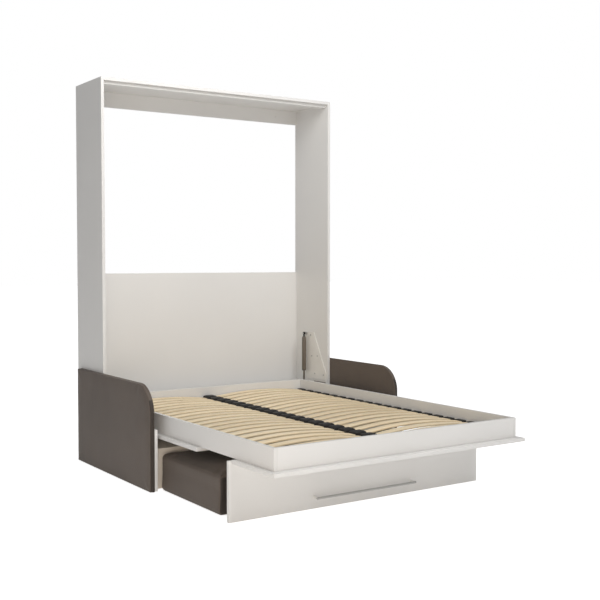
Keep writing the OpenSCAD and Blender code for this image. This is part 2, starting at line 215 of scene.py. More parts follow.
class Finish:
    """One material, made of nodes around its Principled shader."""

    def __init__(self, name, **constants):
        self.material = bpy.data.materials.new(name)
        self.material.use_nodes = True
        self.nodes, self.links = self.material.node_tree.nodes, self.material.node_tree.links
        self.shader = self.nodes["Principled BSDF"]
        for socket, value in constants.items():
            self.shader.inputs[socket.replace("_", " ")].default_value = value

    def node(self, kind, settings=None, inputs=None):
        """A new node: its settings come first, then its sockets' values or links."""
        made = self.nodes.new(kind)
        for name, value in (settings or {}).items():
            setattr(made, name, value)
        for key, value in (inputs or {}).items():
            self.set(made.inputs[key], value)
        return made

    def set(self, socket, value):
        if isinstance(value, Amount):
            self.links.new(value.socket, socket)
        elif isinstance(value, bpy.types.NodeSocket):
            self.links.new(value, socket)
        elif isinstance(value, (tuple, list)) or hasattr(value, "__len__"):
            value = tuple(value)
            socket.default_value = (*value, 1.0) if len(value) == 3 and socket.type == "RGBA" else value
        else:
            socket.default_value = value

    def amount(self, kind, settings=None, inputs=None):
        return Amount(self, self.node(kind, settings, inputs).outputs[0])

    def place(self, scale=(1, 1, 1)):
        """The object's own coordinates, stretched."""
        coords = self.node("ShaderNodeTexCoord").outputs["Object"]
        return self.node("ShaderNodeMapping", None, {"Vector": coords, "Scale": scale}).outputs[0]

    def along(self, axis):
        coords = self.node("ShaderNodeTexCoord").outputs["Object"]
        return Amount(self, self.node("ShaderNodeSeparateXYZ", None, {0: coords}).outputs["XYZ".index(axis)])

    def attribute(self, name):
        return Amount(self, self.node("ShaderNodeAttribute", {"attribute_name": name}).outputs["Fac"])

    def clouds(self, scale, detail=2.0, rough=0.5, where=None, distortion=0.0):
        where = where or self.place()
        return self.amount(
            "ShaderNodeTexNoise",
            None,
            {"Vector": where, "Scale": scale, "Detail": detail, "Roughness": rough, "Distortion": distortion},
        )

    def cells(self, scale):
        return self.amount(
            "ShaderNodeTexVoronoi", {"feature": "DISTANCE_TO_EDGE"}, {"Vector": self.place(), "Scale": scale}
        )

    def span(self, value, low, high, to_low=0.0, to_high=1.0):
        """A value moved from one range to another, and kept inside it."""
        return self.amount(
            "ShaderNodeMapRange",
            {"clamp": True},
            {"Value": value, "From Min": low, "From Max": high, "To Min": to_low, "To Max": to_high},
        )

    def blend(self, factor, first, second, how="MIX"):
        made = self.node("ShaderNodeMix", {"data_type": "RGBA", "blend_type": how})
        self.set(made.inputs[0], factor)
        self.set(made.inputs[6], first)
        self.set(made.inputs[7], second)
        return made.outputs[2]

    def whole(self, value):
        return self.amount("ShaderNodeMath", {"operation": "FLOOR"}, {0: value})

    def tone(self, colour, lightness):
        """A colour made lighter or darker by a value around 1."""
        channels = {0: lightness, 1: lightness, 2: lightness}
        grey = self.node("ShaderNodeCombineColor", None, channels).outputs[0]
        return self.blend(1.0, colour, grey, "MULTIPLY")

    def bump(self, height, strength, distance):
        return self.node(
            "ShaderNodeBump", None, {"Height": height, "Strength": strength, "Distance": distance}
        ).outputs[0]

    def done(self, colour, roughness, normal=None):
        self.set(self.shader.inputs["Base Color"], colour)
        self.set(self.shader.inputs["Roughness"], roughness)
        if normal is not None:
            self.set(self.shader.inputs["Normal"], normal)
        return self.material


def melamine(name, colour, rough=0.40):
    """Board facing: an even colour, a fine pearl texture and faint hand marks in the sheen."""
    f = Finish(name, Specular_IOR_Level=0.45)
    drift = f.clouds(1.3, 3.0)
    fleck = f.clouds(420.0, 2.0)
    light = f.span(drift, 0.3, 0.7, 0.975, 1.02) + (fleck - 0.5) * 0.03
    marks = f.clouds(5.0, 4.0, 0.6)
    pearl = f.clouds(1500.0, 1.0)
    return f.done(
        f.tone(colour, light),
        f.span(marks, 0.3, 0.75, rough - 0.05, rough + 0.08),
        f.bump(pearl, 0.12, 0.0004),
    )


def edging(name, colour):
    """Edge strip: a little glossier than the faces, with fine lengthwise draw lines."""
    f = Finish(name, Specular_IOR_Level=0.5)
    drift = f.clouds(9.0, 3.0)
    lines = f.clouds(1200.0, 1.0)
    return f.done(
        f.tone(colour, f.span(drift, 0.3, 0.7, 0.97, 1.02)),
        f.span(lines, 0.3, 0.7, 0.26, 0.36),
        f.bump(lines, 0.08, 0.0003),
    )


def imitation_leather(name, colour):
    """Soft matt cover: pebbled grain, a gently uneven tone, and a stitched seam where the cover's panels
    join; painted shade darkens the seam's groove and the cover's front face.
    """
    f = Finish(name, Specular_IOR_Level=0.35, Sheen_Weight=0.08, Sheen_Roughness=0.5)
    pebble = f.span(f.cells(620.0), 0.0, 0.22)
    fine = f.clouds(2600.0, 2.0)
    drift = f.clouds(2.2, 4.0, 0.6)
    patch = f.clouds(14.0, 3.0)
    away = f.attribute("seam")
    # Painted shade: the cover's colour is darkened by up to 55 % in the seam's groove, where shade falls; the
    # same mask also sinks the groove in the bump.
    seam_groove_and_shade = f.span(away, 0.0, 0.0022, 1.0, 0.0)
    stitch_row = f.span(away, 0.0045, 0.0062) * f.span(away, 0.0062, 0.0078, 1.0, 0.0)
    step = f.amount(
        "ShaderNodeTexWave",
        {"wave_type": "BANDS", "bands_direction": "DIAGONAL"},
        {"Vector": f.place(), "Scale": 46.0},
    )
    thread = stitch_row * f.span(step, 0.35, 0.5)
    light = f.span(drift, 0.3, 0.7, 0.90, 1.10) * f.span(patch, 0.3, 0.7, 0.96, 1.04)
    light = light * (0.90 + pebble * 0.12) * (1.0 - seam_groove_and_shade * 0.55) + thread * 0.35
    # Painted shade: the front faces of the arms and the cushion are darkened by 62 %, as they lie in shade.
    light = light * (1.0 - f.attribute("painted_front_shade") * 0.62)
    height = pebble * 0.35 + fine * 0.12 - seam_groove_and_shade * 4.0 + thread * 1.6
    return f.done(f.tone(colour, light), 0.50 + patch * 0.12 - pebble * 0.05, f.bump(height, 0.35, 0.0009))


def birch_veneer(name, light_colour, dark_colour, pitch, along="X"):
    """Clear-lacquered birch with its grain along one axis; each slat has a tone and figure of its own."""
    f = Finish(name, Specular_IOR_Level=0.4, Coat_Weight=0.12, Coat_Roughness=0.3)
    across = f.along("Y" if along == "X" else "X")
    index = f.whole(across / pitch) if pitch else None
    if pitch:
        tint = f.amount("ShaderNodeTexWhiteNoise", {"noise_dimensions": "1D"}, {"W": index})
    else:
        tint = f.clouds(2.0)
    stretch = (1.4, 26.0, 26.0) if along == "X" else (26.0, 1.4, 26.0)
    fine_stretch = (9.0, 420.0, 420.0) if along == "X" else (420.0, 9.0, 420.0)
    where = f.place(stretch)
    if pitch:
        apart = {0: index * 3.7, 1: index * 1.9, 2: 0.0}
        shift = f.node("ShaderNodeCombineXYZ", None, apart).outputs[0]
        where = f.node("ShaderNodeVectorMath", {"operation": "ADD"}, {0: where, 1: shift}).outputs[0]
    figure = f.clouds(1.0, 4.0, 0.6, where, 1.4)
    pores = f.clouds(1.0, 2.0, 0.5, f.place(fine_stretch))
    streak = f.span(figure, 0.38, 0.68, 0.0, 0.6)
    wood = f.blend(streak, light_colour, dark_colour)
    light = (0.90 + tint * 0.18) * (1.0 - f.span(pores, 0.60, 0.75) * 0.16)
    return f.done(f.tone(wood, light), 0.42 + streak * 0.12, f.bump(pores, 0.10, 0.0005))


def plywood_edge(name, light_colour, dark_colour, layers):
    """The sawn side of a slat, where its veneers show as light and dark layers."""
    f = Finish(name, Specular_IOR_Level=0.3)
    depth = f.attribute("layer")
    phase = f.amount("ShaderNodeMath", {"operation": "FRACT"}, {0: depth * float(layers)})
    glue = f.span(phase, 0.0, 0.12, 1.0, 0.0) + f.span(phase, 0.5, 0.55) * 0.35
    fibre = f.clouds(1.0, 2.0, 0.5, f.place((30.0, 600.0, 600.0)))
    wood = f.blend(f.span(glue, 0.0, 1.0, 0.15, 0.85), light_colour, dark_colour)
    return f.done(f.tone(wood, 0.78 + fibre * 0.22), 0.66 + fibre * 0.1, f.bump(fibre, 0.2, 0.0004))


def moulded(name, colour, rough):
    """Rubber or plastic from a mould: fine spark texture, faint flow marks and dust in the sheen."""
    f = Finish(name, Specular_IOR_Level=0.4)
    spark = f.clouds(900.0, 2.0)
    drift = f.clouds(7.0, 3.0)
    return f.done(
        f.tone(colour, f.span(drift, 0.3, 0.7, 0.90, 1.10)),
        f.span(drift, 0.3, 0.7, rough - 0.06, rough + 0.08),
        f.bump(spark, 0.15, 0.0005),
    )


def coated_metal(name, colour, rough):
    """Sprayed steel: orange-peel skin, a little uneven in tone."""
    f = Finish(name, Specular_IOR_Level=0.5, Metallic=0.05)
    peel = f.clouds(520.0, 2.0)
    drift = f.clouds(6.0, 4.0)
    return f.done(
        f.tone(colour, f.span(drift, 0.3, 0.7, 0.93, 1.06)),
        f.span(drift, 0.3, 0.7, rough - 0.05, rough + 0.07),
        f.bump(peel, 0.16, 0.0004),
    )


def drawn_metal(name, colour, rough, stretch):
    """Bare metal with fine scratches drawn along one axis and dull patches."""
    f = Finish(name, Metallic=1.0)
    lines = f.clouds(1.0, 3.0, 0.6, f.place(stretch))
    dull = f.clouds(18.0, 3.0)
    return f.done(
        f.tone(colour, 0.90 + lines * 0.18),
        f.span(lines, 0.3, 0.7, rough - 0.06, rough + 0.08) + (dull - 0.5) * 0.08,
        f.bump(lines, 0.10, 0.0003),
    )


_made = {}


def finish(name):
    """Each finish is made once, when a piece first needs it."""
    if name not in _made:
        c, s = colours(), sizes()
        makers = {
            "white_melamine": lambda: melamine("white_melamine", c.board),
            "white_edging": lambda: edging("white_edging", c.edging),
            "deck_melamine": lambda: melamine("deck_melamine", c.deck, 0.46),
            "deck_edging": lambda: edging("deck_edging", c.deck),
            "soft_cover": lambda: imitation_leather("soft_cover", c.cover),
            "slat_birch": lambda: birch_veneer("slat_birch", c.birch, c.birch_dark, slat_pitch()),
            "slat_edge": lambda: plywood_edge("slat_edge", c.birch, c.birch_dark, s.slat_layers),
            "bearer_birch": lambda: birch_veneer("bearer_birch", c.birch, c.birch_dark, None, "X"),
            "ledge_birch": lambda: birch_veneer("ledge_birch", c.birch, c.birch_dark, None, "Y"),
            "black_rubber": lambda: moulded("black_rubber", c.rubber, 0.58),
            "grey_glide": lambda: moulded("grey_glide", c.glide, 0.5),
            "coated_plate": lambda: coated_metal("coated_plate", c.plate, 0.42),
            "dark_enamel": lambda: coated_metal("dark_enamel", c.enamel_and_shade, 0.36),
            "zinc_plate": lambda: drawn_metal("zinc_plate", c.zinc, 0.34, (300.0, 300.0, 300.0)),
            "strut_rod_steel": lambda: drawn_metal("strut_rod_steel", c.enamel_and_shade, 0.24, (900.0, 900.0, 14.0)),
            "brushed_handle": lambda: drawn_metal("brushed_handle", c.handle, 0.42, (8.0, 1400.0, 1400.0)),
            "bright_post": lambda: drawn_metal("bright_post", c.post, 0.45, (600.0, 30.0, 600.0)),
        }
        _made[name] = makers[name]()
    return _made[name]


# ---------------------------------------------------------------- shaping helpers


def add_block(bm, low, high):
    """A box between two corners; its vertices."""
    low, high = Vector(low), Vector(high)
    verts = bmesh.ops.create_cube(bm, size=1.0)["verts"]
    bmesh.ops.scale(bm, vec=high - low, verts=verts)
    bmesh.ops.translate(bm, vec=(low + high) / 2, verts=verts)
    return verts


def add_bar(bm, axis, centre, radius, length, rim, sides=32):
    """A round bar centred on a point, along X, Y or Z, with softened rims; its vertices."""
    quarter = math.pi / 2
    turns = {"X": Matrix.Rotation(quarter, 4, "Y"), "Y": Matrix.Rotation(quarter, 4, "X"), "Z": Matrix()}
    made = bmesh.ops.create_cone(
        bm, cap_ends=True, segments=sides, radius1=radius, radius2=radius, depth=length,
        matrix=Matrix.Translation(centre) @ turns[axis],
    )
    verts = made["verts"]
    if rim:
        caps = {f for v in verts for f in v.link_faces if len(f.verts) == sides}
        soften(bm, {e for f in caps for e in f.edges}, rim, 2)
    return verts


def soften(bm, edges, width, steps):
    bmesh.ops.bevel(
        bm, geom=list(edges), offset=width, offset_type="OFFSET", affect="EDGES", segments=steps,
        profile=0.5, material=-1, clamp_overlap=True,
    )


def join(bm, one):
    """Adds one shape to a group of shapes, with its point layers, and frees it."""
    part = bpy.data.meshes.new("part")
    one.to_mesh(part)
    one.free()
    bm.from_mesh(part)
    bpy.data.meshes.remove(part)


def loose_object(name, bm):
    mesh = bpy.data.meshes.new(name)
    bm.to_mesh(mesh)
    bm.free()
    made = bpy.data.objects.new(name, mesh)
    bpy.context.scene.collection.objects.link(made)
    return made


def piece(name, bm, body, finishes, stands_for=(), smooth=None):
    """Makes a bmesh into an object that moves with a body; edges past the smooth angle stay sharp."""
    made = loose_object(name, bm)
    mesh = made.data
    for one in finishes:
        mesh.materials.append(finish(one))
    if smooth is not None:
        mesh.shade_smooth()
        mesh.set_sharp_from_angle(angle=math.radians(smooth))
    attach(made, body)
    if stands_for:
        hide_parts(*stands_for)
    return made


def dress(name, finish_name):
    """Gives a node of the frame its finish."""
    node = frame["nodes"][name]
    if not node.material_slots:
        node.data.materials.append(None)
    for place in node.material_slots:
        place.material = finish(finish_name)


def solids_in(name):
    """The lowest and highest corner of each separate solid in a node of the frame."""
    bm = bmesh.new()
    bm.from_mesh(frame["nodes"][name].data)
    bmesh.ops.remove_doubles(bm, verts=bm.verts, dist=WELD_DISTANCE)
    left, found = set(bm.verts), []
    while left:
        reached, waiting = set(), [left.pop()]
        while waiting:
            vert = waiting.pop()
            reached.add(vert)
            for e in vert.link_edges:
                other = e.other_vert(vert)
                if other in left:
                    left.discard(other)
                    waiting.append(other)
        cos = [v.co for v in reached]
        found.append(
            (
                Vector([min(c[i] for c in cos) for i in range(3)]),
                Vector([max(c[i] for c in cos) for i in range(3)]),
            )
        )
    bm.free()
    return sorted(found, key=lambda b: (round(b[0].y, 4), round(b[0].x, 4), round(b[0].z, 4)))


def slat_pitch():
    """The spacing of the slats, from the first and last of a row."""
    slats = solids_in("slats_left")
    return (slats[-1][0].y - slats[0][0].y) / (len(slats) - 1)


# ---------------------------------------------------------------- boards


def board(name, body, face, edge, slot):
    """A faced board with softened edges; its narrow sides carry the edge strip."""
    low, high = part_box(name)
    bm = bmesh.new()
    add_block(bm, low, high)
    soften(bm, bm.edges, sizes().board_round, 2)
    size = high - low
    thin = min(range(3), key=lambda i: size[i])
    for f in bm.faces:
        f.material_index = 0 if abs(f.normal[thin]) > 0.99 else 1
    return piece(name + "_board", bm, body, (face, edge), (name,))


class WALLBED_OT_white_boards(bpy.types.Operator):
    """The white melamine boards of the cabinet, the bed frame, its face panels and the support leg"""

    bl_idname = "wall_bed.white_boards"
    bl_label = "White Boards"

    def execute(self, context):
        for body, names in WHITE_BOARDS.items():
            for name in names:
                board(name, body, "white_melamine", "white_edging", "white_board")
        dress("header_board", "white_melamine")
        return {"FINISHED"}


class WALLBED_OT_deck_boards(bpy.types.Operator):
    """The light boards of the sofa base"""

    bl_idname = "wall_bed.deck_boards"
    bl_label = "Sofa Base Boards"

    def execute(self, context):
        for name in DECK_BOARDS:
            board(name, "cabinet", "deck_melamine", "deck_edging", "cream_board")
        dress("base_glides", "grey_glide")
        return {"FINISHED"}


class WALLBED_OT_screw_caps(bpy.types.Operator):
    """Two domed caps that cover the wall screws in the header board"""

    bl_idname = "wall_bed.screw_caps"
    bl_label = "Wall Screw Caps"

    def execute(self, context):
        low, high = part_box("header_board")
        mount = next(m for m in frame["record"]["mounts"] if m["name"] == "wall_screws")
        from_middle = mount["dims"]["spacing_x_mm"] / 2000
        radius, height = 0.0065, 0.0016
        bm = bmesh.new()
        for side in (-1, 1):
            centre = (side * from_middle, low.y - height / 2, (low.z + high.z) / 2)
            add_bar(bm, "Y", centre, radius, height, 0.0007, 24)
        piece("wall_screw_caps", bm, "cabinet", ("white_edging",), smooth=40)
        return {"FINISHED"}


# ---------------------------------------------------------------- slats


class WALLBED_OT_slats(bpy.types.Operator):
    """Two rows of bent birch slats with rounded long edges"""

    bl_idname = "wall_bed.slats"
    bl_label = "Birch Slats"

    def execute(self, context):
        for side in SIDES:
            self.row(side)
        return {"FINISHED"}

    def row(self, side):
        rise, edge_round, steps = sizes().slat_rise, 0.0022, 14
        bm = bmesh.new()
        bm.verts.layers.float.new("layer")
        for low, high in solids_in("slats_" + side):
            thick = high.z - low.z - rise
            one = bmesh.new()
            layer = one.verts.layers.float.new("layer")
            add_block(one, low, (high.x, high.y, low.z + thick))
            soften(one, [e for e in one.edges if abs((e.verts[0].co - e.verts[1].co).x) > 0.1], edge_round, 2)
            for v in one.verts:
                v[layer] = (v.co.z - low.z) / thick
            for f in one.faces:
                f.material_index = 0 if abs(f.normal.z) > 0.5 else 1
            half, middle = (high.x - low.x) / 2, (high.x + low.x) / 2
            for i in range(1, steps):
                x = low.x + 2 * half * i / steps
                bmesh.ops.bisect_plane(
                    one, geom=one.verts[:] + one.edges[:] + one.faces[:], plane_co=(x, 0, 0),
                    plane_no=(1, 0, 0),
                )
            for v in one.verts:
                off = (v.co.x - middle) / half
                v.co.z += rise * (1 - off * off)
            join(bm, one)
        piece(
            "birch_slats_" + side, bm, "bed", ("slat_birch", "slat_edge"), ("slats_" + side,),
            smooth=35,
        )


class WALLBED_OT_slat_holders(bpy.types.Operator):
    """Black rubber holders: single ones along the side rails and double ones along the middle"""

    bl_idname = "wall_bed.slat_holders"
    bl_label = "Slat Holders"

    def execute(self, context):
        for place in ("left", "right", "centre"):
            node = "slat_holders_" + place
            bm = bmesh.new()
            for low, high in solids_in(node):
                one = bmesh.new()
                add_block(one, low, high)
                if place == "centre":
                    top = [e for e in one.edges if all(v.co.z > high.z - 1e-5 for v in e.verts)]
                    soften(one, top, 0.013, 4)
                else:
                    soften(one, one.edges, 0.0025, 2)
                join(bm, one)
            piece("rubber_holders_" + place, bm, "bed", ("black_rubber",), (node,), smooth=50)
        return {"FINISHED"}


class WALLBED_OT_bearers(bpy.types.Operator):
    """The birch ledges, centre rail and cross pieces under the slats"""

    bl_idname = "wall_bed.bearers"
    bl_label = "Bearers"

    def execute(self, context):
        for name in ("centre_rail", "slat_ledge_left", "slat_ledge_right"):
            dress(name, "ledge_birch")
        for name in ("frame_braces", "leg_crossbar"):
            dress(name, "bearer_birch")
        return {"FINISHED"}


# ---------------------------------------------------------------- padding


def frozen(source):
    """Turns an object's modifiers into its mesh."""
    graph = bpy.context.evaluated_depsgraph_get()
    mesh = bpy.data.meshes.new_from_object(source.evaluated_get(graph), depsgraph=graph)
    source.modifiers.clear()
    old, source.data = source.data, mesh
    bpy.data.meshes.remove(old)


def gridded(bm, cell):
    """Cuts a closed shape into a grid of small faces, so that its cover can bend."""
    for axis in range(3):
        places = [v.co[axis] for v in bm.verts]
        low, high = min(places), max(places)
        count = max(2, round((high - low) / cell))
        away = Vector([float(i == axis) for i in range(3)])
        for i in range(1, count):
            bmesh.ops.bisect_plane(
                bm, geom=bm.verts[:] + bm.edges[:] + bm.faces[:], dist=1e-5,
                plane_co=away * (low + (high - low) * i / count), plane_no=away,
            )


def fill_with_air(source, pressure, furthest, held):
    """Swells a closed cover as its filling would, then limits how far any point has moved.

    The points for which held is true stay where they are. The points before the filling are returned.
    """
    before = [v.co.copy() for v in source.data.vertices]
    group = source.vertex_groups.new(name="held")
    group.add([v.index for v in source.data.vertices if held(v.co)], 1.0, "REPLACE")
    cloth = source.modifiers.new("cover", "CLOTH")
    s = cloth.settings
    s.quality, s.mass, s.air_damping = 4, 0.25, 3.0
    s.tension_stiffness = s.compression_stiffness = 12.0
    s.shear_stiffness, s.bending_stiffness = 6.0, 0.6
    s.use_pressure, s.uniform_pressure_force = True, pressure
    s.effector_weights.gravity = 0.0
    cloth.collision_settings.use_collision = False
    cloth.collision_settings.use_self_collision = False
    s.vertex_group_mass = "held"
    cloth.point_cache.frame_start, cloth.point_cache.frame_end = 1, FILLING_FRAMES
    for step in range(1, FILLING_FRAMES + 1):
        bpy.context.scene.frame_set(step)
    frozen(source)
    bpy.context.scene.frame_set(1)
    source.vertex_groups.clear()
    for vert, start in zip(source.data.vertices, before):
        moved = vert.co - start
        if moved.length > furthest:
            vert.co = start + moved * (furthest / moved.length)
    return before


def mark(source, name, value_at, places):
    """Stores a number at each point of a cover, from where the point lay before the filling."""
    made = source.data.attributes.new(name, "FLOAT", "POINT")
    made.data.foreach_set("value", [value_at(co) for co in places])


def finish_padding(made, name, node):
    """Names a filled cover, gives it its finish and body, and rounds off its grid."""
    made.name = name
    made.data.name = name
    made.data.shade_smooth()
    made.data.materials.append(finish("soft_cover"))
    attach(made, "cabinet")
    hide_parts(node)
    smoother = made.modifiers.new("smoother", "SUBSURF")
    smoother.levels = smoother.render_levels = 1


class WALLBED_OT_arms(bpy.types.Operator):
    """Two padded arms: a slim board with a filled cover, seamed round its outer face"""

    bl_idname = "wall_bed.arms"
    bl_label = "Padded Arms"

    def execute(self, context):
        s = sizes()
        low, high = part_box("arm_right")
        puff, corner, back, front, top, outer = s.arm_puff, s.arm_corner, high.y, low.y, high.z, high.x
        glued, seam_inset, flat_rim, front_shade_depth = 0.006, 0.0035, 0.16, 0.02
        bm = bmesh.new()
        ring = [bm.verts.new((low.x, back, low.z)), bm.verts.new((low.x, front, low.z))]
        steps = 20
        for i in range(steps + 1):
            a = math.pi / 2 * i / steps
            y, z = front + corner - corner * math.cos(a), top - corner + corner * math.sin(a)
            ring.append(bm.verts.new((low.x, y, z)))
        ring.append(bm.verts.new((low.x, back, top)))
        face = bm.faces.new(ring)
        out = bmesh.ops.extrude_face_region(bm, geom=[face])
        moved = [g for g in out["geom"] if isinstance(g, bmesh.types.BMVert)]
        bmesh.ops.translate(bm, vec=(high.x - low.x, 0, 0), verts=moved)
        bmesh.ops.recalc_face_normals(bm, faces=bm.faces)
        soften(bm, [e for e in bm.edges if len({round(v.co.x, 4) for v in e.verts}) == 1], s.arm_round, 2)
        gridded(bm, s.arm_grid)
        cover = loose_object("arm_cover", bm)
        start = fill_with_air(cover, 3.0, puff, lambda co: co.x < low.x + glued)

        def to_seam(co):
            return abs(co.x - (outer - seam_inset))

        # Marks the arm's front strip, which the cover's finish darkens as painted shade.
        def in_painted_front_shade(co):
            return float(co.y < front + front_shade_depth and low.x + 0.001 < co.x < outer - 0.001)

        for v, rest in zip(cover.data.vertices, start):
            ripple = noise.noise(Vector((rest.y * 9, rest.z * 9, 3.0)))
            edge = min(rest.y - front, top - rest.z, back - rest.y, flat_rim) / flat_rim
            if rest.x > outer - 0.004:
                v.co.x += 0.0008 * ripple + 0.0012 * max(edge, 0.0)
            v.co.x = max(v.co.x, low.x)
            v.co.z = max(v.co.z, low.z)
        mark(cover, "seam", to_seam, start)
        mark(cover, "painted_front_shade", in_painted_front_shade, start)
        mirrored = cover.copy()
        mirrored.data = cover.data.copy()
        bpy.context.scene.collection.objects.link(mirrored)
        mirrored.data.transform(Matrix.Scale(-1, 4, (1, 0, 0)))
        mirrored.data.flip_normals()
        finish_padding(cover, "padded_arm_right", "arm_right")
        finish_padding(mirrored, "padded_arm_left", "arm_left")
        return {"FINISHED"}


class WALLBED_OT_seat_cushion(bpy.types.Operator):
    """The loose seat cushion: a boxed foam block in a seamed cover that swells between its edges"""

    bl_idname = "wall_bed.seat_cushion"
    bl_label = "Seat Cushion"

    def execute(self, context):
        s = sizes()
        low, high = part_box("seat_cushion")
        inner_low = low + Vector((0.002, 0.002, 0.0004))
        inner_high = high - Vector((0.002, 0.002, 0.005))
        bm = bmesh.new()
        add_block(bm, inner_low, inner_high)
        soften(bm, bm.edges, s.cushion_round, 4)
        gridded(bm, s.cushion_grid)
        cover = loose_object("cushion_cover", bm)
        start = fill_with_air(cover, 4.0, s.cushion_puff, lambda co: co.z < low.z + 0.004)
        seam_low, seam_high = inner_low.z + 0.010, inner_high.z - 0.008
        half_x, seam_reach, give = inner_high.x, 0.02, 0.35
        middle = Vector((0, (low.y + high.y) / 2, (low.z + high.z) / 2))

        def to_seam(co):
            from_x = half_x - abs(co.x)
            from_y = min(co.y - inner_low.y, inner_high.y - co.y)
            upright = abs(from_x - from_y) / 1.414 if max(from_x, from_y) < 0.03 else 1.0
            return min(abs(co.z - seam_low), abs(co.z - seam_high), upright)

        # Marks the cushion's front face below its top seam, which the cover's finish darkens as painted
        # shade.
        def in_painted_front_shade(co):
            return float(co.y < inner_low.y + 0.006 and co.z < seam_high)

        limit_y = high.y + 0.003
        for v, rest in zip(cover.data.vertices, start):
            lift = max(0.0, (rest.z - low.z) / (high.z - low.z))
            fold = noise.noise(Vector((rest.x * 6, rest.y * 6, rest.z * 9)))
            pull = tuck = 0.0
            if abs(rest.x) > half_x - 0.09:
                pull = noise.noise(Vector((rest.x * 2.2, rest.y * 26, 4.0)))
            if rest.z > inner_high.z - 0.06:
                tuck = noise.noise(Vector((rest.x * 22, 7.0, rest.z * 7)))
            out = (rest - middle).normalized()
            v.co += out * (lift * (0.0022 * fold + 0.0014 * pull + 0.0010 * tuck))
            near = min(to_seam(rest), seam_reach) / seam_reach
            v.co.x, v.co.y = rest.x + (v.co.x - rest.x) * give, rest.y + (v.co.y - rest.y) * give
            v.co.z = max(v.co.z, low.z)
            v.co.y = min(v.co.y, limit_y)
            v.co.x -= math.copysign(0.0012, v.co.x) * (1 - near)
        mark(cover, "seam", to_seam, start)
        mark(cover, "painted_front_shade", in_painted_front_shade, start)
        finish_padding(cover, "seat_cushion_cover", "seat_cushion")
        return {"FINISHED"}


# ---------------------------------------------------------------- fittings


class WALLBED_OT_side_plates(bpy.types.Operator):
    """The coated side plates with their pivot blocks, and the domed screws that hold them"""

    bl_idname = "wall_bed.side_plates"
    bl_label = "Side Plates"

    def execute(self, context):
        for side in SIDES:
            dress("strut_plate_" + side, "coated_plate")
            # Painted shade, in part: the pivot blocks are real housings, but they are coloured dark so that
            # their top edge gives the dark gap line just above the bed rail.
            dress("pivot_block_" + side, "dark_enamel")
        bm = bmesh.new()
        for low, high in solids_in("plate_screws"):
            side = 1 if low.x > 0 else -1
            face = low.x if side > 0 else high.x
            centre = Vector((face + side * 0.001, (low.y + high.y) / 2, (low.z + high.z) / 2))
            add_bar(bm, "X", centre, (high.z - low.z) / 2, 0.002, 0.0009, 24)
            # Painted shade: each screw's cross recess is a thin dark block standing proud of the head, in
            # place of a cut recess and the shade inside it.
            for y_reach, z_reach in ((0.0006, 0.0028), (0.0028, 0.0006)):
                reach = Vector((0.0004, y_reach, z_reach))
                slot_at = centre - Vector((side * 0.0009, 0, 0))
                verts = add_block(bm, slot_at - reach, slot_at + reach)
                for f in {f for v in verts for f in v.link_faces}:
                    f.material_index = 1
        piece(
            "plate_screw_heads", bm, "cabinet", ("zinc_plate", "dark_enamel"), ("plate_screws",),
            smooth=40,
        )
        return {"FINISHED"}


class WALLBED_OT_pins(bpy.types.Operator):
    """The pivot pins, strut studs and the leg's hinges"""

    bl_idname = "wall_bed.pins"
    bl_label = "Pins and Hinges"

    def execute(self, context):
        for side in SIDES:
            for node in ("pivot_pin_", "strut_low_stud_", "strut_top_stud_"):
                dress(node + side, "zinc_plate")
        dress("leg_hinge_fixed", "zinc_plate")
        dress("leg_hinge_moving", "zinc_plate")
        return {"FINISHED"}


